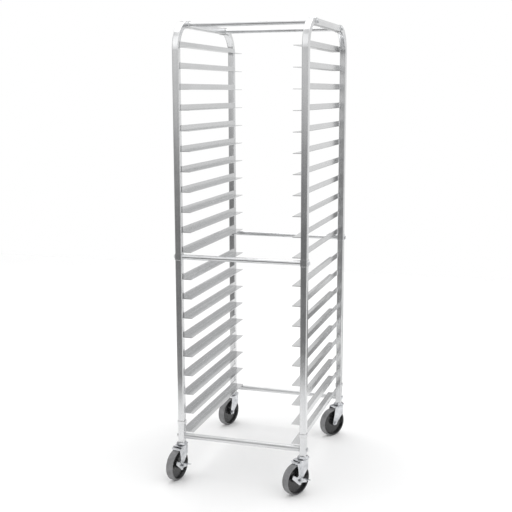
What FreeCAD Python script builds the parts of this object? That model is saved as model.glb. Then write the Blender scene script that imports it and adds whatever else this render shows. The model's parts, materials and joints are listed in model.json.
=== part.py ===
import FreeCAD, Part
import math
import os
import Sketcher
from FreeCAD import Placement, Rotation, Vector

# Sheet pan rack: an open bolted frame of square tube with twenty pairs of angle slides, on four
# swivel casters, the front two with brakes. Millimetres, +X to the rack's right, +Y to its back,
# +Z up. The origin is on the floor below the middle of the frame.

DIMENSIONS = {
    # overall frame
    "rack_width": 516.0,
    "rack_depth": 665.0,
    "tube_size": 25.4,
    "tube_wall": 1.8,
    "tube_corner": 4.0,
    "top_rail_height": 1747.5,
    "bend_radius": 95.0,
    # joints between tubes: one end is swaged out or necked in, the other slides into it
    "fit_gap": 0.1,
    "end_gap": 0.5,
    "swage_step": 3.0,
    "swage_depth": 22.0,
    "swage_chamfer": 1.6,
    "mid_joint_top": 893.0,
    "neck_depth": 34.0,
    "foot_bottom": 142.0,
    "foot_top": 229.0,
    "collar_rise": 2.0,
    "collar_length": 14.0,
    "collar_round": 1.2,
    # crossbars and their bolts
    "mid_bar_height": 880.0,
    "bottom_bar_height": 167.0,
    "top_bar_inset": 15.0,
    "bar_diameter": 19.05,
    "bottom_bar_diameter": 22.2,
    "bar_wall": 1.65,
    "bar_plug": 24.0,
    "bolt_diameter": 8.0,
    "bolt_reach": 20.0,
    "bolt_flange_diameter": 17.0,
    "bolt_flange_thickness": 1.5,
    "bolt_head_size": 13.0,
    "bolt_head_height": 4.0,
    "bolt_head_chamfer": 0.8,
    "hole_gap": 0.05,
    # slides
    "slide_length": 637.0,
    "slide_ledge": 35.0,
    "slide_rise": 22.4,
    "slide_thickness": 2.0,
    "slide_corner": 3.0,
    "slide_bend": 2.5,
    "slide_pitch": 76.2,
    "top_slide_height": 1658.6,
    "mid_slide_gap": 105.0,
    # wheels
    "wheel_radius": 60.0,
    "wheel_width": 29.0,
    "tread_depth": 5.0,
    "tread_shoulder": 4.8,
    "hub_recess": 10.0,
    "hub_rim": 3.0,
    "hub_slope": 4.0,
    "hub_lip": 1.0,
    "boss_radius": 11.0,
    "boss_fillet": 2.0,
    "boss_length": 34.0,
    "caster_trail": 39.5,
    "axle_diameter": 8.0,
    "running_gap": 0.05,
    "press_gap": 0.01,
    # forks and the stems they turn on
    "fork_inside": 35.0,
    "fork_plate": 2.5,
    "crown_top": 132.0,
    "crown_front": 35.5,
    "crown_back": 16.9,
    "leg_top_back": 8.5,
    "leg_kink_back": 6.5,
    "leg_kink_height": 96.0,
    "leg_tip_radius": 10.0,
    "end_play": 0.3,
    "kingpin_diameter": 12.0,
    "rivet_diameter": 20.0,
    "rivet_height": 3.0,
    "rivet_edge": 1.0,
    "cap_diameter": 45.0,
    "cap_neck_diameter": 33.0,
    "cap_rim": 2.2,
    "cap_gap": 1.6,
    "race_diameter": 36.0,
    "stem_height": 40.0,
    "nut_size": 13.0,
    "nut_height": 6.0,
    "thread_end": 2.0,
    "face_gap": 0.1,
    # brake rockers, as arms from the axle: reach, then angle above level towards the back
    "lever_thickness": 2.5,
    "lever_gap": 2.4,
    "lever_half_width": 7.0,
    "lever_waist": 9.0,
    "lever_front_reach": 46.5,
    "lever_front_angle": 149.0,
    "lever_back_reach": 37.0,
    "lever_back_angle": -14.0,
    "lever_notch_reach": 8.0,
    "lever_tab_reach": 17.0,
    "lever_tab_angle": -97.0,
    "lever_tab_half_width": 4.0,
    "pedal_length": 16.0,
    "pedal_width": 19.0,
    "pedal_corner": 4.0,
    # swivel of each caster from straight ahead, degrees about +Z
    "swivel_front_left": -11.0,
    "swivel_front_right": -30.0,
    "swivel_rear_left": -18.0,
    "swivel_rear_right": -35.0,
}

CORNERS = {
    "front_left": (-1, -1),
    "front_right": (1, -1),
    "rear_left": (-1, 1),
    "rear_right": (1, 1),
}
BRAKED = ("front_left", "front_right")
UPPER_LEVELS = 11
LEVELS = 20

doc = FreeCAD.newDocument("sheet_pan_rack")
sheet = doc.addObject("Spreadsheet::Sheet", "Dim")
for row, (alias, size) in enumerate(DIMENSIONS.items(), start=1):
    sheet.set(f"A{row}", alias)
    sheet.set(f"B{row}", str(size))
    sheet.setAlias(f"B{row}", alias)
doc.recompute()

nodes = []


def value(expression):
    """The number that an expression of the sheet's cells works out to."""
    return float(sheet.evalExpression(expression))


def node(part, label):
    """Keeps a finished sub-part under its node name."""
    part.Label = label
    nodes.append(part)
    return part


def bind(part, **expressions):
    """Ties properties to expressions; a double underscore stands for a dot."""
    for name, expression in expressions.items():
        part.setExpression(name.replace("__", "."), expression)


def place(part, x="0", y="0", z="0", turn="0"):
    """Puts a part at x, y, z, turned about +Z by an angle in degrees."""
    bind(part, Placement__Base__x=x, Placement__Base__y=y, Placement__Base__z=z)
    part.Placement.Rotation = Rotation(Vector(0, 0, 1), value(turn))
    bind(part, Placement__Rotation__Angle=f"({turn}) * 1 deg")


def new_body(name):
    return doc.addObject("PartDesign::Body", name)


def attach(feature, body, plane, offset="0", up="0"):
    """Lays a sketch or primitive on an origin plane, moved along its normal and up in it."""
    base = next(item for item in body.Origin.OriginFeatures if item.Role == plane)
    feature.AttachmentSupport = [(base, "")]
    feature.MapMode = "FlatFace"
    feature.AttachmentOffset = Placement(Vector(0, value(up), value(offset)), Rotation(0, 0, 0, 1))
    bind(feature, AttachmentOffset__Base__y=up, AttachmentOffset__Base__z=offset)


def new_sketch(body, plane, offset="0", up="0"):
    sketch = body.newObject("Sketcher::SketchObject", "Sketch")
    attach(sketch, body, plane, offset, up)
    return sketch


def dimension(sketch, kind, *where_and_expression):
    """Adds a dimension whose size is an expression."""
    *where, expression = where_and_expression
    index = sketch.addConstraint(Sketcher.Constraint(kind, *where, value(expression)))
    sketch.setExpression(f"Constraints[{index}]", expression)


def pin_point(sketch, line, end, x, y):
    """Fixes one end of a line at x, y from the sketch's origin."""
    for kind, axis, expression in (("DistanceX", -2, x), ("DistanceY", -1, y)):
        if expression == "0":
            sketch.addConstraint(Sketcher.Constraint("PointOnObject", line, end, axis))
        else:
            dimension(sketch, kind, -1, 1, line, end, expression)


def add_polygon(sketch, points):
    """Draws a closed outline through points given as pairs of expressions."""
    corners = [Vector(value(x), value(y), 0) for x, y in points]
    first = sketch.GeometryCount
    count = len(corners)
    for i in range(count):
        sketch.addGeometry(Part.LineSegment(corners[i], corners[(i + 1) % count]), False)
    for i in range(count):
        after = first + (i + 1) % count
        sketch.addConstraint(Sketcher.Constraint("Coincident", first + i, 2, after, 1))
    for i, (x, y) in enumerate(points):
        pin_point(sketch, first + i, 1, x, y)


def add_circle(sketch, radius, x="0", y="0"):
    centre = Vector(value(x), value(y), 0)
    circle = sketch.addGeometry(Part.Circle(centre, Vector(0, 0, 1), value(radius)), False)
    pin_point(sketch, circle, 3, x, y)
    dimension(sketch, "Radius", circle, radius)


def add_rounded_square(sketch, side, corner):
    """Draws a square with round corners about the sketch's origin."""
    half, arc_radius = value(side) / 2, value(corner)
    reach = half - arc_radius
    turns = ((1, 1, 0), (-1, 1, 90), (-1, -1, 180), (1, -1, 270))
    first = sketch.GeometryCount
    for sx, sy, start in turns:
        circle = Part.Circle(Vector(sx * reach, sy * reach, 0), Vector(0, 0, 1), arc_radius)
        arc = Part.ArcOfCircle(circle, math.radians(start), math.radians(start + 90))
        sketch.addGeometry(arc, False)
    sides = (
        (Vector(reach, half, 0), Vector(-reach, half, 0)),
        (Vector(-half, reach, 0), Vector(-half, -reach, 0)),
        (Vector(-reach, -half, 0), Vector(reach, -half, 0)),
        (Vector(half, -reach, 0), Vector(half, reach, 0)),
    )
    for start, end in sides:
        sketch.addGeometry(Part.LineSegment(start, end), False)
    for i in range(4):
        line = first + 4 + i
        sketch.addConstraint(Sketcher.Constraint("Tangent", first + i, 2, line, 1))
        sketch.addConstraint(Sketcher.Constraint("Tangent", line, 2, first + (i + 1) % 4, 1))
        sketch.addConstraint(Sketcher.Constraint("Vertical" if i % 2 else "Horizontal", line))
    for i in range(1, 4):
        sketch.addConstraint(Sketcher.Constraint("Equal", first, first + i))
    sketch.addConstraint(Sketcher.Constraint("Symmetric", first, 3, first + 2, 3, -1, 1))
    dimension(sketch, "Radius", first, corner)
    dimension(sketch, "DistanceY", -1, 1, first + 4, 1, f"({side}) / 2")
    dimension(sketch, "DistanceX", -1, 1, first + 7, 1, f"({side}) / 2")


def pad(body, sketch, length, reverse=False, both_ways=False):
    feature = body.newObject("PartDesign::Pad", "Pad")
    feature.Profile = sketch
    feature.Reversed = reverse
    feature.SideType = "Symmetric" if both_ways else "One side"
    bind(feature, Length=length)
    return feature


def cut_through(body, sketch):
    feature = body.newObject("PartDesign::Pocket", "Pocket")
    feature.Profile = sketch
    feature.Type = "ThroughAll"
    feature.SideType = "Symmetric"
    return feature


def revolve(body, sketch, axis, angle="360"):
    feature = body.newObject("PartDesign::Revolution", "Revolution")
    feature.Profile = sketch
    feature.ReferenceAxis = (sketch, [axis])
    bind(feature, Angle=f"({angle}) * 1 deg")
    return feature


def edges_where(shape, test, longest):
    """Names the edges, up to a length, whose every vertex passes a test."""
    return [
        f"Edge{i}"
        for i, edge in enumerate(shape.Edges, start=1)
        if edge.Length <= longest and all(test(vertex.Point) for vertex in edge.Vertexes)
    ]


def ease(body, kind, test, longest=1000.0, **size):
    """Adds a Fillet or Chamfer to the body's edges that pass a test."""
    doc.recompute()
    base = body.Tip
    feature = body.newObject(f"PartDesign::{kind}", kind)
    feature.Base = (base, edges_where(base.Shape, test, longest))
    bind(feature, **size)
    return feature


SLACK = 0.01


def near(number, target):
    return abs(number - target) < SLACK


# Square tube sections, each as its side and its corner radius.
TUBE_SIDE = "Dim.tube_size"
SWAGE_BORE = f"({TUBE_SIDE} + 2 * Dim.fit_gap)"
SWAGE = f"({SWAGE_BORE} + 2 * Dim.tube_wall)"
OUTER_CORNER = "Dim.tube_corner"
SWAGE_CORNER = "(Dim.tube_corner + Dim.tube_wall)"
TUBE = (TUBE_SIDE, OUTER_CORNER)
BORE = (f"({TUBE_SIDE} - 2 * Dim.tube_wall)", "(Dim.tube_corner - Dim.tube_wall)")
NECK = (f"({BORE[0]} - 2 * Dim.fit_gap)", BORE[1])
NECK_BORE = (f"({NECK[0]} - 2 * Dim.tube_wall)", "(Dim.tube_corner - 2 * Dim.tube_wall)")

UPRIGHT_X = "(Dim.rack_width / 2 - Dim.tube_size / 2)"
UPRIGHT_Y = "(Dim.rack_depth / 2 - Dim.tube_size / 2)"
TOP_BAR_Y = f"({UPRIGHT_Y} - Dim.bend_radius - Dim.top_bar_inset)"
UPPER_START = "(Dim.mid_joint_top - Dim.swage_depth + Dim.end_gap)"
LOWER_START = "(Dim.foot_top - Dim.neck_depth)"
BEND_START = "(Dim.top_rail_height - Dim.bend_radius)"
HOLE_RADIUS = "(Dim.bolt_diameter / 2 + Dim.hole_gap)"


def add_tube(body, plane, outer, bore, offset, length, reverse=False, up="0"):
    """Adds a run of square tube; outer and bore are pairs of side and corner radius."""
    sketch = new_sketch(body, plane, offset, up)
    add_rounded_square(sketch, *outer)
    add_rounded_square(sketch, *bore)
    return pad(body, sketch, length, reverse)


def drill(body, y, z, radius=HOLE_RADIUS):
    """Drills across the body, along X, at y, z."""
    sketch = new_sketch(body, "YZ_Plane")
    add_circle(sketch, radius, y, z)
    return cut_through(body, sketch)


def add_swage(body, plane, offset, reverse=False, up="0"):
    """Adds a swaged mouth: a short step that closes onto the tube, then the wide sleeve."""
    outer = (SWAGE, SWAGE_CORNER)
    add_tube(body, plane, outer, BORE, offset, "Dim.swage_step", reverse, up)
    mouth = f"{offset} {'-' if reverse else '+'} Dim.swage_step"
    add_tube(body, plane, outer, (SWAGE_BORE, OUTER_CORNER), mouth, "Dim.swage_depth", reverse, up)


def add_bend(body, offset):
    """Adds a quarter turn of tube, from straight up at a height to level along +Y."""
    sketch = new_sketch(body, "XY_Plane", offset)
    add_rounded_square(sketch, *TUBE)
    add_rounded_square(sketch, *BORE)
    reach, radius = value(TUBE_SIDE), value("Dim.bend_radius")
    line = Part.LineSegment(Vector(reach, radius, 0), Vector(-reach, radius, 0))
    axis = sketch.addGeometry(line, True)
    sketch.addConstraint(Sketcher.Constraint("Symmetric", axis, 1, axis, 2, -2))
    dimension(sketch, "DistanceY", -1, 1, axis, 1, "Dim.bend_radius")
    dimension(sketch, "DistanceX", axis, 2, axis, 1, f"2 * {TUBE_SIDE}")
    revolve(body, sketch, "Axis0", "90")


def outside_tube(first, second):
    """Whether a point, by its distances from the tube's axis, is clear of the plain tube."""
    return max(abs(first), abs(second)) > value(TUBE_SIDE) / 2 + value("Dim.fit_gap") * 2


def upper_upright(corner):
    """Straight tube, a quarter bend towards the middle, then the mouth for the top rail."""
    side, end = CORNERS[corner]
    body = new_body(f"upper_upright_{corner}")
    straight = f"{BEND_START} - {UPPER_START}"
    top = f"{straight} + Dim.bend_radius"
    add_tube(body, "XY_Plane", TUBE, BORE, "0", straight)
    add_bend(body, straight)
    add_swage(body, "XZ_Plane", "-Dim.bend_radius", reverse=True, up=top)
    drill(body, "Dim.bend_radius + Dim.top_bar_inset", top)
    drill(body, "0", f"Dim.mid_bar_height - {UPPER_START}")
    reach, height = value("Dim.bend_radius"), value(top)

    def step_edge(point):
        return near(point.y, reach) and outside_tube(point.x, point.z - height)

    ease(body, "Chamfer", step_edge, Size="Dim.swage_chamfer")
    turn = "0" if end < 0 else "180"
    place(body, f"{side} * {UPRIGHT_X}", f"{end} * {UPRIGHT_Y}", UPPER_START, turn)
    node(body, f"upper_upright_{corner}")


def top_rail(side_name, side):
    """Straight tube between the mouths of the two bent uprights of a side."""
    body = new_body(f"top_rail_{side_name}")
    half = f"({UPRIGHT_Y} - Dim.bend_radius - Dim.swage_step - Dim.end_gap)"
    add_tube(body, "XZ_Plane", TUBE, BORE, f"-1 * {half}", f"2 * {half}")
    for end in (-1, 1):
        drill(body, f"{end} * {TOP_BAR_Y}", "0")
    place(body, f"{side} * {UPRIGHT_X}", "0", "Dim.top_rail_height")
    node(body, f"top_rail_{side_name}")


def lower_upright(corner):
    """Tube necked at the bottom to enter the foot and swaged at the top to take the upper tube."""
    side, end = CORNERS[corner]
    body = new_body(f"lower_upright_{corner}")
    neck_top = "(Dim.neck_depth + Dim.end_gap)"
    step_top = f"({neck_top} + Dim.swage_step)"
    tube_top = f"(Dim.mid_joint_top - Dim.swage_depth - Dim.swage_step - {LOWER_START})"
    add_tube(body, "XY_Plane", NECK, NECK_BORE, "0", neck_top)
    add_tube(body, "XY_Plane", TUBE, NECK_BORE, neck_top, "Dim.swage_step")
    add_tube(body, "XY_Plane", TUBE, BORE, step_top, f"{tube_top} - {step_top}")
    add_swage(body, "XY_Plane", tube_top)
    drill(body, "0", f"Dim.mid_bar_height - {LOWER_START}")
    swage_bottom = value(tube_top)

    def step_edge(point):
        return near(point.z, swage_bottom) and outside_tube(point.x, point.y)

    ease(body, "Chamfer", step_edge, Size="Dim.swage_chamfer")
    place(body, f"{side} * {UPRIGHT_X}", f"{end} * {UPRIGHT_Y}", LOWER_START)
    node(body, f"lower_upright_{corner}")


def foot(corner):
    """Short tube with a raised collar at its top."""
    side, end = CORNERS[corner]
    body = new_body(f"foot_{corner}")
    length = "(Dim.foot_top - Dim.foot_bottom)"
    collar_bottom = f"({length} - Dim.collar_length)"
    collar = (f"({TUBE_SIDE} + 2 * Dim.collar_rise)", "(Dim.tube_corner + Dim.collar_rise)")
    add_tube(body, "XY_Plane", TUBE, BORE, "0", length)
    add_tube(body, "XY_Plane", collar, BORE, collar_bottom, "Dim.collar_length")
    drill(body, "0", "Dim.bottom_bar_height - Dim.foot_bottom")
    collar_ends = (value(collar_bottom), value(length))

    def collar_edge(point):
        at_end = any(near(point.z, height) for height in collar_ends)
        return at_end and outside_tube(point.x, point.y)

    ease(body, "Fillet", collar_edge, Radius="Dim.collar_round")
    place(body, f"{side} * {UPRIGHT_X}", f"{end} * {UPRIGHT_Y}", "Dim.foot_bottom")
    node(body, f"foot_{corner}")


# Each crossbar: its place between the side frames, its height, its diameter and what it meets.
CROSSBARS = {
    "top": (TOP_BAR_Y, "Dim.top_rail_height", "Dim.bar_diameter", SWAGE),
    "middle": (UPRIGHT_Y, "Dim.mid_bar_height", "Dim.bar_diameter", SWAGE),
    "bottom": (UPRIGHT_Y, "Dim.bottom_bar_height", "Dim.bottom_bar_diameter", TUBE_SIDE),
}


def crossbar(end_name, end, level):
    """Round tube with a plug in each end that takes the bolt."""
    y, z, diameter, meets = CROSSBARS[level]
    body = new_body(f"crossbar_{end_name}_{level}")
    half = f"({UPRIGHT_X} - {meets} / 2)"
    plug = f"({half} - Dim.bar_plug)"
    radius = f"({diameter} / 2)"
    bore = f"({radius} - Dim.bar_wall)"
    sketch = new_sketch(body, "XZ_Plane")
    add_polygon(
        sketch,
        (
            (f"-{half}", HOLE_RADIUS),
            (f"-{half}", radius),
            (half, radius),
            (half, HOLE_RADIUS),
            (plug, HOLE_RADIUS),
            (plug, bore),
            (f"-{plug}", bore),
            (f"-{plug}", HOLE_RADIUS),
        ),
    )
    revolve(body, sketch, "H_Axis")
    place(body, "0", f"{end} * {y}", z)
    node(body, f"crossbar_{end_name}_{level}")


def crossbar_bolt(side, end, level):
    """Flanged hexagon bolt that runs along +X, its flange's face at the origin."""
    y, z, _, meets = CROSSBARS[level]
    body = new_body("bolt")
    shank = body.newObject("PartDesign::AdditiveCylinder", "Shank")
    attach(shank, body, "YZ_Plane")
    bind(shank, Radius="Dim.bolt_diameter / 2", Height=f"{meets} + Dim.bolt_reach")
    flange = body.newObject("PartDesign::AdditiveCylinder", "Flange")
    attach(flange, body, "YZ_Plane", "-Dim.bolt_flange_thickness")
    bind(flange, Radius="Dim.bolt_flange_diameter / 2", Height="Dim.bolt_flange_thickness")
    head = body.newObject("PartDesign::AdditivePrism", "Head")
    attach(head, body, "YZ_Plane", "-Dim.bolt_flange_thickness - Dim.bolt_head_height")
    head.Polygon = 6
    bind(head, Circumradius="Dim.bolt_head_size / 2 / cos(30 deg)", Height="Dim.bolt_head_height")
    outside = value("-Dim.bolt_flange_thickness - Dim.bolt_head_height")
    ease(body, "Chamfer", lambda point: near(point.x, outside), Size="Dim.bolt_head_chamfer")
    turn = "0" if side < 0 else "180"
    place(body, f"{side} * ({UPRIGHT_X} + {meets} / 2)", f"{end} * {y}", z, turn)
    return body


def crossbar_bolts():
    group = doc.addObject("Part::Compound", "crossbar_bolts")
    group.Links = [
        crossbar_bolt(side, end, level) for level in CROSSBARS for side in (-1, 1) for end in (-1, 1)
    ]
    node(group, "crossbar_bolts")


def slide(side):
    """Angle with its ledge pointing inwards at the bottom, underside at z = 0."""
    body = new_body("slide_left" if side < 0 else "slide_right")
    back = "(Dim.rack_width / 2 - Dim.tube_size)"
    face = f"({back} - Dim.slide_thickness)"
    tip = f"({back} - Dim.slide_ledge)"
    outline = (
        (back, "0"),
        (back, "Dim.slide_rise"),
        (face, "Dim.slide_rise"),
        (face, "Dim.slide_thickness"),
        (tip, "Dim.slide_thickness"),
        (tip, "0"),
    )
    sketch = new_sketch(body, "XZ_Plane")
    add_polygon(sketch, [(f"{side} * {x}", y) for x, y in outline])
    pad(body, sketch, "Dim.slide_length", both_ways=True)
    outer_x, inner_x, tip_x = (side * value(x) for x in (back, face, tip))
    thickness = value("Dim.slide_thickness")
    half_length = value("Dim.slide_length") / 2

    def inner_bend(point):
        return near(point.x, inner_x) and near(point.z, thickness)

    def outer_bend(point):
        return near(point.x, outer_x) and near(point.z, 0)

    def ledge_corner(point):
        return near(point.x, tip_x) and near(abs(point.y), half_length)

    ease(body, "Fillet", inner_bend, Radius="Dim.slide_thickness / 2")
    ease(body, "Fillet", outer_bend, Radius="Dim.slide_bend")
    ease(body, "Fillet", ledge_corner, longest=thickness + 0.1, Radius="Dim.slide_corner")
    place(body)
    return body


def slide_pairs():
    """Twenty levels, counted from the top, each a left and a right slide."""
    pair = [slide(-1), slide(1)]
    for level in range(LEVELS):
        group = doc.addObject("Part::Compound", f"slides_{level + 1:02d}")
        group.Links = pair
        drop = f"{level} * Dim.slide_pitch"
        if level >= UPPER_LEVELS:
            drop = f"{level - 1} * Dim.slide_pitch + Dim.mid_slide_gap"
        place(group, z=f"Dim.top_slide_height - ({drop})")
        node(group, f"slides_{level + 1:02d}")


def wheel_place(part, corner):
    """Puts a part on a caster's wheel centre, turned as that caster stands."""
    side, end = CORNERS[corner]
    turn = f"Dim.swivel_{corner}"
    x = f"{side} * {UPRIGHT_X} + Dim.caster_trail * sin({turn} * 1 deg)"
    y = f"{end} * {UPRIGHT_Y} - Dim.caster_trail * cos({turn} * 1 deg)"
    place(part, x, y, "Dim.wheel_radius", turn)


def caster_stem(corner):
    """Square insert for the foot, domed race cap and kingpin, riveted below the crown."""
    side, end = CORNERS[corner]
    body = new_body("caster_stem")
    pin = "(Dim.kingpin_diameter / 2)"
    head = "(Dim.rivet_diameter / 2)"
    head_top = "(Dim.crown_top - Dim.fork_plate - Dim.end_play)"
    head_bottom = f"({head_top} - Dim.rivet_height)"
    race_bottom = "(Dim.crown_top + Dim.end_play)"
    cap_bottom = "(Dim.crown_top + Dim.cap_gap)"
    sketch = new_sketch(body, "XZ_Plane")
    add_polygon(
        sketch,
        (
            ("0", head_bottom),
            (f"{head} - Dim.rivet_edge", head_bottom),
            (head, f"{head_bottom} + Dim.rivet_edge"),
            (head, head_top),
            (pin, head_top),
            (pin, race_bottom),
            ("Dim.race_diameter / 2", race_bottom),
            ("Dim.race_diameter / 2", cap_bottom),
            ("Dim.cap_diameter / 2", cap_bottom),
            ("Dim.cap_diameter / 2", f"{cap_bottom} + Dim.cap_rim"),
            ("Dim.cap_neck_diameter / 2", "Dim.foot_bottom"),
            ("0", "Dim.foot_bottom"),
        ),
    )
    revolve(body, sketch, "V_Axis")
    insert = new_sketch(body, "XY_Plane", "Dim.foot_bottom")
    add_rounded_square(insert, *NECK)
    pad(body, insert, "Dim.stem_height")
    drill(body, "0", "Dim.bottom_bar_height")
    place(body, f"{side} * {UPRIGHT_X}", f"{end} * {UPRIGHT_Y}")
    return body


def caster_stems():
    group = doc.addObject("Part::Compound", "caster_stems")
    group.Links = [caster_stem(corner) for corner in CORNERS]
    node(group, "caster_stems")


def leg_profile(body):
    """Side view of a fork leg: sloping front edge, kinked back edge, round tip at the axle."""
    sketch = new_sketch(body, "YZ_Plane")
    trail, axle_height = value("Dim.caster_trail"), value("Dim.wheel_radius")
    tip = value("Dim.leg_tip_radius")
    crown_top = value("Dim.crown_top")
    corners = (
        Vector(-trail - tip, axle_height, 0),
        Vector(-value("Dim.crown_front"), crown_top, 0),
        Vector(value("Dim.leg_top_back"), crown_top, 0),
        Vector(value("Dim.leg_kink_back"), value("Dim.leg_kink_height"), 0),
        Vector(-trail + tip, axle_height, 0),
    )
    for start, end in zip(corners, corners[1:]):
        sketch.addGeometry(Part.LineSegment(start, end), False)
    circle = Part.Circle(Vector(-trail, axle_height, 0), Vector(0, 0, 1), tip)
    arc = sketch.addGeometry(Part.ArcOfCircle(circle, math.pi, 2 * math.pi), False)
    for line in range(3):
        sketch.addConstraint(Sketcher.Constraint("Coincident", line, 2, line + 1, 1))
    sketch.addConstraint(Sketcher.Constraint("Tangent", arc, 1, 0, 1))
    sketch.addConstraint(Sketcher.Constraint("Tangent", 3, 2, arc, 2))
    pin_point(sketch, arc, 3, "-Dim.caster_trail", "Dim.wheel_radius")
    dimension(sketch, "Radius", arc, "Dim.leg_tip_radius")
    pin_point(sketch, 1, 1, "-Dim.crown_front", "Dim.crown_top")
    pin_point(sketch, 2, 1, "Dim.leg_top_back", "Dim.crown_top")
    pin_point(sketch, 3, 1, "Dim.leg_kink_back", "Dim.leg_kink_height")
    return sketch


def fork(corner):
    """Stamped fork: a crown under the race and two legs that taper to the axle."""
    body = new_body(f"fork_{corner}")
    inside = "(Dim.fork_inside / 2)"
    outside = f"({inside} + Dim.fork_plate)"
    crown_bottom = "(Dim.crown_top - Dim.fork_plate)"
    pad(body, leg_profile(body), f"2 * {outside}", both_ways=True)
    clear = new_sketch(body, "XZ_Plane")
    add_polygon(
        clear,
        (
            (f"-{inside}", "0"),
            (inside, "0"),
            (inside, crown_bottom),
            (f"-{inside}", crown_bottom),
        ),
    )
    cut_through(body, clear)
    face, crown_top = value(outside), value("Dim.crown_top")
    for side in (-1, 1):

        def outer_bend(point, x=side * face):
            return near(point.x, x) and near(point.z, crown_top)

        ease(body, "Fillet", outer_bend, Radius="Dim.fork_plate")

    disc = new_sketch(body, "XY_Plane", "Dim.crown_top")
    add_circle(disc, "Dim.crown_back")
    pad(body, disc, "Dim.fork_plate", reverse=True)
    kingpin_hole = new_sketch(body, "XY_Plane", "Dim.crown_top")
    add_circle(kingpin_hole, "Dim.kingpin_diameter / 2 + Dim.running_gap")
    hole = cut_through(body, kingpin_hole)
    hole.SideType = "One side"
    drill(body, "-Dim.caster_trail", "Dim.wheel_radius", AXLE_FIT)
    side, end = CORNERS[corner]
    turn = f"Dim.swivel_{corner}"
    place(body, f"{side} * {UPRIGHT_X}", f"{end} * {UPRIGHT_Y}", "0", turn)
    node(body, f"fork_{corner}")


AXLE_FIT = "(Dim.axle_diameter / 2 + Dim.press_gap)"
AXLE_RUNNING_FIT = "(Dim.axle_diameter / 2 + Dim.running_gap)"
LEG_FACE = "(Dim.fork_inside / 2 + Dim.fork_plate + Dim.face_gap)"
HUB_RADIUS = "(Dim.wheel_radius - Dim.tread_depth)"


def add_hexagon(body, offset, height):
    """Adds a hexagon across the X axis, the size of the axle's nut."""
    feature = body.newObject("PartDesign::AdditivePrism", "Hexagon")
    attach(feature, body, "YZ_Plane", offset)
    feature.Polygon = 6
    bind(feature, Circumradius="Dim.nut_size / 2 / cos(30 deg)", Height=height)


def axle(corner):
    """Axle bolt with its nut, the nut on the side that carries the brake rocker."""
    nut_face = LEG_FACE
    if corner in BRAKED:
        nut_face = f"({LEG_FACE} + Dim.lever_gap + Dim.lever_thickness + Dim.end_play)"
    bolt = new_body("axle_bolt")
    add_hexagon(bolt, f"-{LEG_FACE} - Dim.bolt_head_height", "Dim.bolt_head_height")
    shank = bolt.newObject("PartDesign::AdditiveCylinder", "Shank")
    attach(shank, bolt, "YZ_Plane", f"-{LEG_FACE}")
    shank_length = f"{LEG_FACE} + {nut_face} + Dim.nut_height + Dim.thread_end"
    bind(shank, Radius="Dim.axle_diameter / 2", Height=shank_length)
    wheel_place(bolt, corner)
    nut = new_body("axle_nut")
    add_hexagon(nut, nut_face, "Dim.nut_height")
    drill(nut, "0", "0", AXLE_FIT)
    wheel_place(nut, corner)
    group = doc.addObject("Part::Compound", f"axle_{corner}")
    group.Links = [bolt, nut]
    node(group, f"axle_{corner}")


def wheel_hub(corner):
    """Dished hub: rim, thin web and central boss, with the bore that runs on the axle."""
    body = new_body(f"wheel_hub_{corner}")
    half = "(Dim.wheel_width / 2)"
    web = f"({half} - Dim.hub_recess)"
    rim = f"({HUB_RADIUS} - Dim.hub_rim)"
    boss = "(Dim.boss_length / 2)"
    right = (
        (boss, AXLE_RUNNING_FIT),
        (boss, "Dim.boss_radius"),
        (web, "Dim.boss_radius + Dim.boss_fillet"),
        (web, f"{rim} - Dim.hub_slope"),
        (f"{half} - Dim.hub_lip", rim),
        (half, f"{rim} + Dim.hub_lip"),
        (half, HUB_RADIUS),
    )
    left = [(f"-1 * ({x})", y) for x, y in right]
    sketch = new_sketch(body, "XY_Plane")
    add_polygon(sketch, [*right, *reversed(left)])
    revolve(body, sketch, "H_Axis")
    wheel_place(body, corner)
    node(body, f"wheel_hub_{corner}")


def wheel_tread(corner):
    """Band moulded round the hub, with rounded shoulders."""
    body = new_body(f"wheel_tread_{corner}")
    half = "(Dim.wheel_width / 2)"
    sketch = new_sketch(body, "XY_Plane")
    add_polygon(
        sketch,
        (
            (f"-{half}", HUB_RADIUS),
            (half, HUB_RADIUS),
            (half, "Dim.wheel_radius"),
            (f"-{half}", "Dim.wheel_radius"),
        ),
    )
    revolve(body, sketch, "H_Axis")
    half_width, radius = value(half), value("Dim.wheel_radius")

    def shoulder(point):
        return near(abs(point.x), half_width) and near(math.hypot(point.y, point.z), radius)

    ease(body, "Fillet", shoulder, Radius="Dim.tread_shoulder")
    wheel_place(body, corner)
    node(body, f"wheel_tread_{corner}")


def from_arm(arm, reach, across):
    """A point of the rocker, out along one of its arms and then to that arm's left."""
    angle = f"Dim.lever_{arm}_angle * 1 deg"
    return (
        f"({reach}) * cos({angle}) - ({across}) * sin({angle})",
        f"({reach}) * sin({angle}) + ({across}) * cos({angle})",
    )


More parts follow.
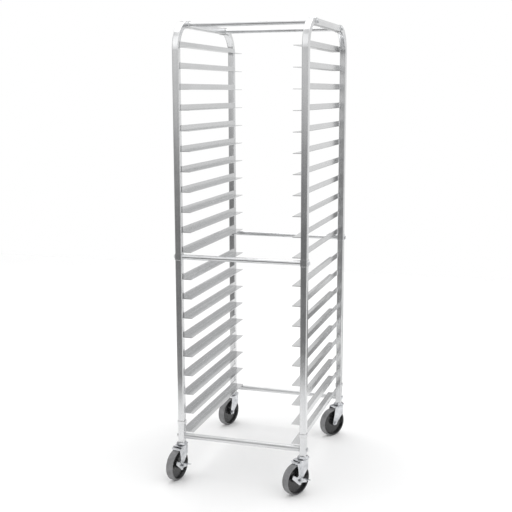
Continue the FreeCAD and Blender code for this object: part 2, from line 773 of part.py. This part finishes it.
def brake_lever(corner):
    """Rocker on the axle: two arms with pedals turned outwards, and a stop tab below."""
    body = new_body(f"brake_lever_{corner}")
    inner_face = f"({LEG_FACE} + Dim.lever_gap)"
    half_width, tab_half = "Dim.lever_half_width", "Dim.lever_tab_half_width"
    front, back, tab = (f"Dim.lever_{arm}_reach" for arm in ("front", "back", "tab"))
    rounded = (
        from_arm("back", back, f"-{half_width}"),
        from_arm("tab", tab, tab_half),
        from_arm("tab", tab, f"-{tab_half}"),
        from_arm("front", front, half_width),
    )
    notch = from_arm("back", "Dim.lever_notch_reach", f"-{half_width}")
    plate = new_sketch(body, "YZ_Plane", inner_face)
    add_polygon(
        plate,
        (
            from_arm("front", front, f"-{half_width}"),
            ("0", "Dim.lever_waist"),
            from_arm("back", back, half_width),
            rounded[0],
            notch,
            *rounded[1:],
        ),
    )
    pad(body, plate, "Dim.lever_thickness")
    thickness = value("Dim.lever_thickness")
    round_corners = [(value(y), value(z)) for y, z in rounded]

    def plate_corner(point):
        return any(near(point.y, y) and near(point.z, z) for y, z in round_corners)

    ease(body, "Fillet", plate_corner, longest=thickness + SLACK, Radius="Dim.lever_thickness")
    for arm, upper in (("front", -1), ("back", 1)):
        tip = f"Dim.lever_{arm}_reach"
        root = f"{tip} - Dim.pedal_length"
        edge = f"{upper} * {half_width}"
        under = f"{upper} * ({half_width} - Dim.lever_thickness)"
        pedal = new_sketch(body, "YZ_Plane", inner_face)
        corners = ((root, under), (tip, under), (tip, edge), (root, edge))
        add_polygon(pedal, [from_arm(arm, *corner) for corner in corners])
        pad(body, pedal, "Dim.lever_thickness + Dim.pedal_width")
    pedal_end = value(f"{inner_face} + Dim.lever_thickness + Dim.pedal_width")

    def pedal_corner(point):
        return near(point.x, pedal_end)

    ease(body, "Fillet", pedal_corner, longest=thickness + SLACK, Radius="Dim.pedal_corner")
    drill(body, "0", "0", AXLE_RUNNING_FIT)
    wheel_place(body, corner)
    node(body, f"brake_lever_{corner}")


for name in CORNERS:
    upper_upright(name)
    lower_upright(name)
    foot(name)
top_rail("left", -1)
top_rail("right", 1)
for bar_level in CROSSBARS:
    crossbar("front", -1, bar_level)
    crossbar("rear", 1, bar_level)
crossbar_bolts()
slide_pairs()
caster_stems()
for name in CORNERS:
    fork(name)
    axle(name)
    wheel_hub(name)
    wheel_tread(name)
for name in BRAKED:
    brake_lever(name)

doc.recompute()

failed = [item.Label for item in doc.Objects if {"Invalid", "Error"} & set(item.State)]
if failed:
    raise RuntimeError(f"these objects did not compute: {failed}")
for part in nodes:
    if part.Shape.isNull() or not part.Shape.isValid() or not part.Shape.Solids:
        raise RuntimeError(f"{part.Label} has no valid solid")

os.makedirs("parts", exist_ok=True)
for part in nodes:
    part.Shape.exportStep(f"parts/{part.Label}.step")
    box = part.Shape.BoundBox
    spans = ((box.XMin, box.XMax), (box.YMin, box.YMax), (box.ZMin, box.ZMax))
    sizes = " by ".join(f"{high - low:.1f}" for low, high in spans)
    print(f"{part.Label}: {len(part.Shape.Solids)} solid(s), {sizes} mm")
print(f"{len(nodes)} nodes written")
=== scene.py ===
import json
import math

import bmesh
import bpy
from mathutils import Matrix, Vector


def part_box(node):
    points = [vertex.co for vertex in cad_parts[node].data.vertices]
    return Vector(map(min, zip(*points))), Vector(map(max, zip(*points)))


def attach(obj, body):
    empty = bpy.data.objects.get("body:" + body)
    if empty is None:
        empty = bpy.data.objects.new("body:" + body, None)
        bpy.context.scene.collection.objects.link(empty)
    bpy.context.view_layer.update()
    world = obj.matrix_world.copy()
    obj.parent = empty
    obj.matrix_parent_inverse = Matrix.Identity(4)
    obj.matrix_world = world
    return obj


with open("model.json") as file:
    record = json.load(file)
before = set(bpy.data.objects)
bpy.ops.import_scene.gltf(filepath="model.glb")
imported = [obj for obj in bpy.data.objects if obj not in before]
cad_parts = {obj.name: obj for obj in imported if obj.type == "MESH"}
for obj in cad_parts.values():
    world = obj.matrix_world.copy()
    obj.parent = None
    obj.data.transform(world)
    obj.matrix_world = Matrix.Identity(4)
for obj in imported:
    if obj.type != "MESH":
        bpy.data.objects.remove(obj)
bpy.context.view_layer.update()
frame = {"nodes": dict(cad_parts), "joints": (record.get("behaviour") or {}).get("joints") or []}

JOINTS = {joint["name"]: joint for joint in frame["joints"]}
FRONT_CASTERS = ("front_left", "front_right")
LEVELS = 20

# Weld beads: runs of ripples, each made of a few rings of corners. Lengths are in metres, and the
# depth and the taper are shares of the radius.
BEAD_RADIUS = 0.0022
BEAD_INSET = 0.0015
BEAD_CORNERS = 10
RIPPLE_LENGTH = 0.0024
RIPPLE_RINGS = 3
RIPPLE_DEPTH = 0.16
TAPER_START = 0.45
TAPER_RISE = 4.0
END_BEAD_RADIUS = BEAD_RADIUS * 0.7
END_BEAD_NEAR = 0.001
END_BEAD_FAR = 0.010
END_BEAD_ABOVE = 0.0006

# Brake strap, in metres: X runs along the axle, and -Y from the kingpin towards the axle. The lip is
# pressed down along the strap's front edge, and the side plate hangs from its right end.
STRAP_ABOVE_TREAD = 0.0075
STRAP_THICKNESS = 0.0020
STRAP_LEFT_END = -0.0205
STRAP_BACK_EDGE = -0.0405
LIP_DEPTH = 0.0065
LIP_OVERLAP = 0.0010
LIP_THICKNESS = 0.0020
NECK_HALF_WIDTH = 0.0165
NECK_BACK_EDGE = -0.0130
PLATE_INNER_FACE = 0.0202
PLATE_OUTER_FACE = 0.0221
PRESSED_EDGE = 0.0005
LIP_EDGE = 0.0004

RIVET_RINGS = 5
RIVET_CORNERS = 16
FLOOR_HALF_SIZE = 4.0


# Node graph helpers ------------------------------------------------------------------------------

def map_range(tree, value, low, high, to_low, to_high):
    item = tree.nodes.new("ShaderNodeMapRange")
    tree.links.new(value, item.inputs["Value"])
    limits = zip(("From Min", "From Max", "To Min", "To Max"), (low, high, to_low, to_high))
    for name, limit in limits:
        item.inputs[name].default_value = limit
    return item


class Graph:
    """A material's node tree, with short calls for the nodes used here."""

    def __init__(self, name, base_color, metallic, roughness):
        self.material = bpy.data.materials.new(name)
        self.material.use_nodes = True
        self.tree = self.material.node_tree
        self.shader = self.tree.nodes["Principled BSDF"]
        self.shader.inputs["Base Color"].default_value = (*base_color, 1.0)
        self.shader.inputs["Metallic"].default_value = metallic
        self.shader.inputs["Roughness"].default_value = roughness

    def add(self, kind, **inputs):
        item = self.tree.nodes.new(kind)
        for name, given in inputs.items():
            socket = item.inputs[name.replace("_", " ")]
            if isinstance(given, bpy.types.NodeSocket):
                self.tree.links.new(given, socket)
            else:
                socket.default_value = given
        return item

    def link(self, output, socket_name):
        self.tree.links.new(output, self.shader.inputs[socket_name])

    def position(self, scale=(1.0, 1.0, 1.0)):
        """Object coordinates stretched by a scale along each axis."""
        coordinates = self.tree.nodes.new("ShaderNodeTexCoord").outputs["Object"]
        return self.add("ShaderNodeMapping", Vector=coordinates, Scale=scale).outputs[0]

    def noise(self, vector, scale, detail=3.0, roughness=0.5):
        return self.add(
            "ShaderNodeTexNoise", Vector=vector, Scale=scale, Detail=detail, Roughness=roughness
        ).outputs["Fac"]

    def remap(self, value, low, high, to_low, to_high):
        """Maps low..high in a straight line to to_low..to_high."""
        return map_range(self.tree, value, low, high, to_low, to_high).outputs[0]

    def ramp(self, value, *stops):
        """Colour from a value, through (position, colour) stops."""
        item = self.tree.nodes.new("ShaderNodeValToRGB")
        self.tree.links.new(value, item.inputs[0])
        elements = item.color_ramp.elements
        while len(elements) < len(stops):
            elements.new(1.0)
        for element, (position, color) in zip(elements, stops):
            element.position = position
            element.color = (*color, 1.0)
        return item.outputs["Color"]

    def maths(self, operation, first, second):
        item = self.tree.nodes.new("ShaderNodeMath")
        item.operation = operation
        for socket, given in zip(item.inputs, (first, second)):
            if isinstance(given, bpy.types.NodeSocket):
                self.tree.links.new(given, socket)
            else:
                socket.default_value = given
        return item.outputs[0]

    def blend(self, kind, factor, first, second):
        item = self.tree.nodes.new("ShaderNodeMix")
        item.data_type = "RGBA"
        item.blend_type = kind
        for name, given in (("Factor_Float", factor), ("A_Color", first), ("B_Color", second)):
            socket = next(s for s in item.inputs if s.identifier == name)
            if isinstance(given, bpy.types.NodeSocket):
                self.tree.links.new(given, socket)
            elif name == "Factor_Float":
                socket.default_value = given
            else:
                socket.default_value = (*given, 1.0)
        return next(s for s in item.outputs if s.identifier == "Result_Color")

    def bump(self, height, strength, distance):
        item = self.add("ShaderNodeBump", Strength=strength, Distance=distance, Height=height)
        self.link(item.outputs[0], "Normal")

    def edge_wear(self, radius):
        """0 on flat faces, rising to 1 on convex and concave edges of about this radius, in metres."""
        bevel = self.tree.nodes.new("ShaderNodeBevel")
        bevel.samples = 4
        bevel.inputs["Radius"].default_value = radius
        geometry = self.tree.nodes.new("ShaderNodeNewGeometry")
        dot = self.tree.nodes.new("ShaderNodeVectorMath")
        dot.operation = "DOT_PRODUCT"
        self.tree.links.new(bevel.outputs[0], dot.inputs[0])
        self.tree.links.new(geometry.outputs["Normal"], dot.inputs[1])
        return self.remap(dot.outputs["Value"], 0.995, 0.86, 0.0, 1.0)


# Materials ---------------------------------------------------------------------------------------

GRAIN = {"x": (3.0, 900.0, 900.0), "y": (900.0, 3.0, 900.0), "z": (900.0, 900.0, 3.0)}
SOFT_GRAIN = {"x": (0.8, 40.0, 40.0), "y": (40.0, 0.8, 40.0), "z": (40.0, 40.0, 0.8)}


def satin_aluminium(name, run, bright, dark, roughness):
    """Extruded aluminium: fine draw lines along the run, faint stains, brighter rubbed edges."""
    g = Graph(name, bright, 1.0, roughness)
    lines = g.noise(g.position(GRAIN[run]), 1.0, 4.0, 0.6)
    bands = g.noise(g.position(SOFT_GRAIN[run]), 1.0, 3.0)
    stains = g.noise(g.position(), 9.0, 5.0, 0.62)
    tone = g.maths("ADD", g.maths("MULTIPLY", bands, 0.6), g.maths("MULTIPLY", stains, 0.4))
    color = g.ramp(tone, (0.34, dark), (0.62, bright))
    worn = g.edge_wear(0.0012)
    g.link(g.blend("MIX", g.maths("MULTIPLY", worn, 0.35), color, (0.93, 0.93, 0.94)), "Base Color")
    wear = g.maths("ADD", g.maths("MULTIPLY", lines, 0.5), g.maths("MULTIPLY", stains, 0.5))
    g.link(g.remap(wear, 0.3, 0.7, roughness - 0.06, roughness + 0.09), "Roughness")
    g.bump(g.maths("ADD", lines, g.maths("MULTIPLY", bands, 2.0)), 0.05, 0.0004)
    return g.material


def zinc_plate(name, bright, dark, roughness):
    """Bright zinc on pressed steel: cloudy spangle, tiny pits and rubbed edges."""
    g = Graph(name, bright, 1.0, roughness)
    place = g.position()
    cloud = g.noise(place, 55.0, 4.0, 0.6)
    pits = g.noise(place, 900.0, 2.0)
    g.link(g.blend("MIX", g.maths("MULTIPLY", g.edge_wear(0.0008), 0.5),
                   g.ramp(cloud, (0.35, dark), (0.65, bright)), (0.9, 0.9, 0.91)), "Base Color")
    g.link(g.remap(cloud, 0.3, 0.7, roughness - 0.06, roughness + 0.1), "Roughness")
    g.bump(g.maths("ADD", pits, g.maths("MULTIPLY", cloud, 0.6)), 0.08, 0.0003)
    return g.material


def hub_plastic():
    """Glossy black moulding with a fine mould texture, faint dust and lighter scuffed edges."""
    g = Graph("hub_black", (0.012, 0.012, 0.013), 0.0, 0.2)
    place = g.position()
    dust = g.noise(place, 70.0, 5.0, 0.65)
    fine = g.noise(place, 1400.0, 2.0)
    g.link(g.blend("MIX", g.maths("MULTIPLY", g.edge_wear(0.0008), 0.3),
                   g.ramp(dust, (0.42, (0.009, 0.009, 0.010)), (0.78, (0.030, 0.030, 0.031))),
                   (0.09, 0.09, 0.09)), "Base Color")
    g.link(g.remap(dust, 0.35, 0.7, 0.16, 0.34), "Roughness")
    g.shader.inputs["Coat Weight"].default_value = 0.25
    g.shader.inputs["Coat Roughness"].default_value = 0.1
    g.bump(fine, 0.06, 0.0002)
    return g.material


def tread_polyurethane():
    """Matt grey polyurethane: moulding grain, scuffs along the rolling face, dirt in patches."""
    g = Graph("tread_grey", (0.16, 0.16, 0.165), 0.0, 0.55)
    place = g.position()
    dirt = g.noise(place, 38.0, 6.0, 0.7)
    grit = g.noise(place, 1100.0, 3.0, 0.6)
    g.link(g.blend("MIX", g.maths("MULTIPLY", g.edge_wear(0.0015), 0.4),
                   g.ramp(dirt, (0.36, (0.155, 0.155, 0.158)), (0.64, (0.235, 0.235, 0.24))),
                   (0.27, 0.27, 0.275)), "Base Color")
    g.link(g.remap(grit, 0.3, 0.7, 0.42, 0.66), "Roughness")
    g.bump(g.maths("ADD", grit, g.maths("MULTIPLY", dirt, 0.7)), 0.25, 0.0004)
    return g.material


BRIGHT, DARK = (0.77, 0.775, 0.78), (0.61, 0.615, 0.625)
upright_metal = satin_aluminium("tube_upright", "z", BRIGHT, DARK, 0.2)
rail_metal = satin_aluminium("tube_rail", "y", BRIGHT, DARK, 0.22)
bar_metal = satin_aluminium("tube_bar", "x", BRIGHT, DARK, 0.27)
# The two lowest crossbars take a rougher copy of the crossbar aluminium. Its lighter base colour is
# painted light, standing in for how brightly these low bars are lit.
low_bar_metal_painted_lighter = satin_aluminium("tube_bar_low_painted_lighter", "x", (0.84, 0.845, 0.85), (0.72, 0.725, 0.73), 0.45)
slide_metal = satin_aluminium("slide_satin", "y", (0.68, 0.685, 0.69), (0.58, 0.585, 0.59), 0.2)
weld_metal = zinc_plate("weld_bead", (0.80, 0.80, 0.81), (0.60, 0.60, 0.61), 0.3)
bolt_metal = zinc_plate("bolt_zinc", (0.78, 0.79, 0.80), (0.55, 0.56, 0.57), 0.26)
caster_metal = zinc_plate("caster_zinc", (0.76, 0.77, 0.79), (0.50, 0.51, 0.53), 0.22)
hub_black = hub_plastic()
tread_grey = tread_polyurethane()

NODE_METALS = (
    ("upper_upright", upright_metal),
    ("lower_upright", upright_metal),
    ("foot", upright_metal),
    ("top_rail", rail_metal),
    ("crossbar_bolts", bolt_metal),
    ("crossbar_front_bottom", low_bar_metal_painted_lighter),
    ("crossbar_rear_bottom", low_bar_metal_painted_lighter),
    ("crossbar", bar_metal),
    ("slides", slide_metal),
    ("wheel_hub", hub_black),
    ("wheel_tread", tread_grey),
)


for name, thing in frame["nodes"].items():
    matching = [metal for start, metal in NODE_METALS if name.startswith(start)]
    material = matching[0] if matching else caster_metal
    for place in thing.material_slots:
        place.material = material


# Pieces added to the CAD -------------------------------------------------------------------------

def add_piece(name, shape, material, body):
    """Makes a mesh piece that moves with a body and takes its finish from a material slot."""
    mesh = bpy.data.meshes.new(name)
    shape.to_mesh(mesh)
    shape.free()
    mesh.materials.append(material)
    piece = bpy.data.objects.new(name, mesh)
    bpy.context.scene.collection.objects.link(piece)
    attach(piece, body)


def join_loops(shape, loops):
    """Adds smooth faces between each closed loop of vertices and the next."""
    corners = len(loops[0])
    for low, high in zip(loops, loops[1:]):
        for corner in range(corners):
            after = (corner + 1) % corners
            shape.faces.new((low[corner], low[after], high[after], high[corner])).smooth = True


def add_bead(shape, start, end, radius):
    """Adds a weld bead: a run of overlapping ripples between two points."""
    start, end = Vector(start), Vector(end)
    along = end - start
    rings = RIPPLE_RINGS * max(2, round(along.length / RIPPLE_LENGTH))
    across = along.orthogonal().normalized()
    other = along.normalized().cross(across)
    loops = []
    for ring in range(rings + 1):
        step = ring / rings
        taper = min(1.0, TAPER_START + TAPER_RISE * min(step, 1.0 - step))
        ripple = 1.0 - RIPPLE_DEPTH * (ring % RIPPLE_RINGS == 0)
        loop = []
        for corner in range(BEAD_CORNERS):
            angle = 2 * math.pi * corner / BEAD_CORNERS
            out = (across * math.cos(angle) + other * math.sin(angle)) * radius * taper * ripple
            loop.append(shape.verts.new(start + along * step + out))
        loops.append(loop)
    join_loops(shape, loops)
    shape.faces.new(reversed(loops[0]))
    shape.faces.new(loops[-1])


def weld_beads(side_name, side):
    """Beads that join every slide's flange to the inner corners of the uprights of a side."""
    shape = bmesh.new()
    post_low, post_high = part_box(f"foot_front_{side_name}")
    rail_low, rail_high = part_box(f"top_rail_{side_name}")
    inner_corner = abs(post_high[1] + post_low[1]) / 2 - (rail_high[0] - rail_low[0]) / 2
    for level in range(1, LEVELS + 1):
        low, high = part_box(f"slides_{level:02d}")
        wall = side * (high[0] + BEAD_RADIUS * 0.3)
        edge = side * (high[0] - 0.001)
        bottom, top = low[2] + BEAD_INSET, high[2] - BEAD_INSET
        over_edge = top + END_BEAD_ABOVE
        for end in (-1, 1):
            y = end * (inner_corner - BEAD_RADIUS * 0.2)
            add_bead(shape, (wall, y, bottom), (wall, y, top), BEAD_RADIUS)
            near, far = end * (inner_corner + END_BEAD_NEAR), end * (inner_corner + END_BEAD_FAR)
            add_bead(shape, (edge, near, over_edge), (edge, far, over_edge), END_BEAD_RADIUS)
    add_piece(f"weld_beads_{side_name}", shape, weld_metal, "frame")


def add_plate(shape, outline, low, high, axis, rounding):
    """Adds a plate: an outline in the plane across an axis (0, 1 or 2), from low to high along it."""
    verts = []
    for first, second in outline:
        point = [first, second]
        point.insert(axis, low)
        verts.append(shape.verts.new(point))
    face = shape.faces.new(verts)
    moved = bmesh.ops.extrude_face_region(shape, geom=[face])["geom"]
    top = [item for item in moved if isinstance(item, bmesh.types.BMVert)]
    shift = Vector((0, 0, 0))
    shift[axis] = high - low
    bmesh.ops.translate(shape, verts=top, vec=shift)
    edges = {edge for vert in (*verts, *top) for edge in vert.link_edges}
    bmesh.ops.bevel(shape, geom=list(edges), offset=rounding, segments=2, affect="EDGES", profile=0.6)


def add_rivet(shape, place, radius, height):
    """Adds a domed rivet head on a face whose outward direction is +X."""
    x, y, z = place
    loops = []
    turns = [2 * math.pi * corner / RIVET_CORNERS for corner in range(RIVET_CORNERS)]
    for ring in range(RIVET_RINGS):
        angle = math.pi / 2 * ring / RIVET_RINGS
        reach, rise = radius * math.cos(angle), height * math.sin(angle)
        loops.append([
            shape.verts.new((x + rise, y + reach * math.cos(turn), z + reach * math.sin(turn)))
            for turn in turns
        ])
    join_loops(shape, loops)
    shape.faces.new(loops[-1])


def brake_strap(corner):
    """Pressed strap over the front of the tread, with a side plate down the right-hand fork leg."""
    shape = bmesh.new()
    crown = JOINTS[f"swivel_{corner}"]["pos_m"]
    tread_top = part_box(f"wheel_tread_{corner}")[1][2]
    high = tread_top + STRAP_ABOVE_TREAD
    front = (
        (STRAP_LEFT_END, -0.0430), (-0.0160, -0.0475), (-0.0080, -0.0498),
        (0.0080, -0.0498), (0.0160, -0.0475), (PLATE_OUTER_FACE, -0.0430),
    )
    behind = tuple((x * 0.92, y + LIP_THICKNESS) for x, y in reversed(front))
    neck = (
        (NECK_HALF_WIDTH, STRAP_BACK_EDGE), (NECK_HALF_WIDTH, NECK_BACK_EDGE),
        (-NECK_HALF_WIDTH, NECK_BACK_EDGE), (-NECK_HALF_WIDTH, STRAP_BACK_EDGE),
    )
    strap = (*front, (PLATE_OUTER_FACE, STRAP_BACK_EDGE), *neck, (STRAP_LEFT_END, STRAP_BACK_EDGE))
    add_plate(shape, strap, high - STRAP_THICKNESS, high, 2, PRESSED_EDGE)
    add_plate(shape, (*front, *behind), high - LIP_DEPTH, high - LIP_OVERLAP, 2, LIP_EDGE)
    side_plate = (
        (-0.0490, high), (-0.0500, high - 0.010), (-0.0465, high - 0.032), (-0.0440, high - 0.050),
        (-0.0335, high - 0.050), (-0.0325, high - 0.032), (-0.0290, high - 0.014), (-0.0235, high),
    )
    add_plate(shape, side_plate, PLATE_INNER_FACE, PLATE_OUTER_FACE, 0, PRESSED_EDGE)
    add_rivet(shape, (PLATE_OUTER_FACE, -0.0285, high - 0.005), radius=0.0027, height=0.0014)
    add_rivet(shape, (PLATE_OUTER_FACE, -0.0385, high - 0.044), radius=0.0020, height=0.0010)
    axis = JOINTS[f"wheel_{corner}"]["axis"]
    turn = Matrix.Rotation(math.atan2(axis[1], axis[0]), 4, "Z")
    place = Matrix.Translation((crown[0], crown[1], 0)) @ turn
    bmesh.ops.transform(shape, matrix=place, verts=shape.verts)
    bmesh.ops.recalc_face_normals(shape, faces=shape.faces)
    add_piece(f"brake_strap_{corner}", shape, caster_metal, f"swivel_{corner}")


weld_beads("left", -1)
weld_beads("right", 1)
for name in FRONT_CASTERS:
    brake_strap(name)


# Stage, light and camera -------------------------------------------------------------------------

def paint(name, color, roughness):
    """Plain paint with a barely visible mottle."""
    g = Graph(name, color, 0.0, roughness)
    mottle = g.noise(g.position(), 2.0, 3.0)
    g.link(g.ramp(mottle, (0.3, tuple(0.99 * part for part in color)), (0.7, color)), "Base Color")
    return g.material


def soft_light(name, location, aim, size, power):
    """A rectangular lamp that points at a place."""
    data = bpy.data.lights.new(name, "AREA")
    data.shape = "RECTANGLE"
    data.size, data.size_y = size
    data.energy = power
    lamp = bpy.data.objects.new(name, data)
    lamp.location = location
    lamp.rotation_euler = (Vector(aim) - Vector(location)).to_track_quat("-Z", "Y").to_euler()
    bpy.context.scene.collection.objects.link(lamp)


def wide_sun(name, strength, spread):
    """Even light from straight overhead, softened over a spread in degrees."""
    data = bpy.data.lights.new(name, "SUN")
    data.energy = strength
    data.angle = math.radians(spread)
    data.specular_factor = 0.2
    bpy.context.scene.collection.objects.link(bpy.data.objects.new(name, data))


def make_floor():
    mesh = bpy.data.meshes.new("floor")
    shape = bmesh.new()
    bmesh.ops.create_grid(shape, x_segments=1, y_segments=1, size=FLOOR_HALF_SIZE)
    shape.to_mesh(mesh)
    shape.free()
    floor = bpy.data.objects.new("floor", mesh)
    bpy.context.scene.collection.objects.link(floor)
    mesh.materials.append(paint("floor_paint", (0.95, 0.95, 0.95), 0.7))


def make_camera(location, yaw, pitch, roll, lens, shift):
    """A camera looking along yaw (0 is +Y, positive turns to -X) and down by pitch."""
    data = bpy.data.cameras.new("camera")
    data.sensor_width = 36.0
    data.lens = lens
    data.shift_x, data.shift_y = shift
    camera = bpy.data.objects.new("camera", data)
    a, e = math.radians(yaw), math.radians(pitch)
    ahead = Vector((-math.sin(a) * math.cos(e), math.cos(a) * math.cos(e), -math.sin(e)))
    right = ahead.cross(Vector((0, 0, 1))).normalized()
    up = right.cross(ahead)
    turn = Matrix((right, up, -ahead)).transposed() @ Matrix.Rotation(math.radians(roll), 3, "Z")
    camera.matrix_world = Matrix.Translation(location) @ turn.to_4x4()
    bpy.context.scene.collection.objects.link(camera)
    bpy.context.scene.camera = camera


def make_world():
    """A soft studio: bright sides, back and top, and a dim front, where the photographer stands."""
    world = bpy.data.worlds.new("studio")
    world.use_nodes = True
    tree = world.node_tree
    background = tree.nodes["Background"]
    coordinates = tree.nodes.new("ShaderNodeTexCoord")
    parts = tree.nodes.new("ShaderNodeSeparateXYZ")
    tree.links.new(coordinates.outputs["Generated"], parts.inputs[0])
    height = parts.outputs["Z"]
    gap = ((0.77, 1.25), (0.84, 0.2), (0.965, 0.2), (1.0, 1.0))
    side = world_ramp(
        tree, height, (-0.2, 0.75), (-0.06, 0.95), (0.02, 0.88), (0.5, 0.85), (0.7, 1.2), *gap
    )
    front = world_ramp(
        tree, height, (-0.15, 0.24), (-0.03, 0.56), (0.05, 0.82), (0.14, 0.88), (0.25, 1.3), *gap
    )
    towards_front = map_range(tree, parts.outputs["Y"], -0.25, -0.8, 0.0, 1.0)
    towards_front.interpolation_type = "SMOOTHSTEP"
    mix = tree.nodes.new("ShaderNodeMix")
    tree.links.new(towards_front.outputs[0], mix.inputs["Factor"])
    tree.links.new(side, mix.inputs["A"])
    tree.links.new(front, mix.inputs["B"])
    path = tree.nodes.new("ShaderNodeLightPath")
    shown = tree.nodes.new("ShaderNodeMix")
    tree.links.new(path.outputs["Is Camera Ray"], shown.inputs["Factor"])
    tree.links.new(mix.outputs[0], shown.inputs["A"])
    shown.inputs["B"].default_value = 1.0
    tree.links.new(shown.outputs[0], background.inputs["Strength"])
    background.inputs["Color"].default_value = (1.0, 1.0, 1.0, 1.0)
    bpy.context.scene.world = world


def world_ramp(tree, value, *stops):
    """Brightness by height, -1 straight down to 1 straight up, through (height, brightness) stops."""
    curve = tree.nodes.new("ShaderNodeFloatCurve")
    mapping = curve.mapping
    mapping.use_clip = False
    line = mapping.curves[0]
    unit = map_range(tree, value, -1.0, 1.0, 0.0, 1.0)
    tree.links.new(unit.outputs[0], curve.inputs["Value"])
    places = [((height + 1) / 2, brightness / 2) for height, brightness in stops]
    line.points[0].location = (0.0, places[0][1])
    line.points[1].location = (1.0, places[-1][1])
    for place in places[:-1]:
        line.points.new(*place)
    for point in line.points:
        point.handle_type = "VECTOR"
    mapping.update()
    double = tree.nodes.new("ShaderNodeMath")
    double.operation = "MULTIPLY"
    tree.links.new(curve.outputs[0], double.inputs[0])
    double.inputs[1].default_value = 2.0
    return double.outputs[0]


def make_card(name, outline, fade, brightness):
    """An upright card that only mirror reflections see, fading out over its top edge."""
    mesh = bpy.data.meshes.new(name)
    mesh.from_pydata(outline, [], [range(len(outline))])
    top = max(z for _, _, z in outline)
    g = Graph(name, (0.0, 0.0, 0.0), 0.0, 1.0)
    parts = g.tree.nodes.new("ShaderNodeSeparateXYZ")
    g.tree.links.new(g.position(), parts.inputs[0])
    clearing = g.remap(parts.outputs["Z"], top - fade, top, 0.0, 1.0)
    clear = g.tree.nodes.new("ShaderNodeBsdfTransparent")
    glow = g.tree.nodes.new("ShaderNodeEmission")
    glow.inputs["Color"].default_value = (1.0, 1.0, 1.0, 1.0)
    glow.inputs["Strength"].default_value = brightness
    mix = g.tree.nodes.new("ShaderNodeMixShader")
    g.tree.links.new(clearing, mix.inputs[0])
    g.tree.links.new(glow.outputs[0], mix.inputs[1])
    g.tree.links.new(clear.outputs[0], mix.inputs[2])
    g.tree.links.new(mix.outputs[0], g.tree.nodes["Material Output"].inputs["Surface"])
    mesh.materials.append(g.material)
    card = bpy.data.objects.new(name, mesh)
    bpy.context.scene.collection.objects.link(card)
    card.visible_camera = card.visible_diffuse = card.visible_shadow = False


make_floor()
make_world()
make_card(
    "front_card",
    (
        (-1.6, -1.25, 0.0), (-0.6, -1.25, 0.0), (0.7, -1.25, 0.3),
        (0.7, -1.25, 1.42), (-1.6, -1.25, 1.42),
    ),
    fade=0.5,
    brightness=0.21,
)
make_card(
    "right_card",
    ((0.38, 0.85, 0.0), (0.95, 0.85, 0.0), (0.95, 0.85, 0.65), (0.38, 0.85, 0.65)),
    fade=0.2,
    brightness=0.3,
)
make_card(
    "left_card",
    ((-1.6, 2.0, 0.0), (-1.6, -1.25, 0.0), (-1.6, -1.25, 2.0), (-1.6, 2.0, 2.0)),
    fade=0.3,
    brightness=0.45,
)
make_card(
    "back_card",
    ((0.5, 3.0, 0.0), (-0.5, 3.0, 0.0), (-0.5, 3.0, 1.6), (0.5, 3.0, 1.6)),
    fade=0.4,
    brightness=0.4,
)
soft_light("top", (0.0, 0.6, 4.0), aim=(0, 0, 0), size=(3.0, 3.0), power=45)
wide_sun("overhead", strength=0.68, spread=70)
make_camera(
    (1.055, -3.550, 1.4954), yaw=17.681, pitch=9.626, roll=-0.203, lens=65.13, shift=(0.01748, -0.0125)
)
bpy.context.scene.view_settings.view_transform = "Standard"
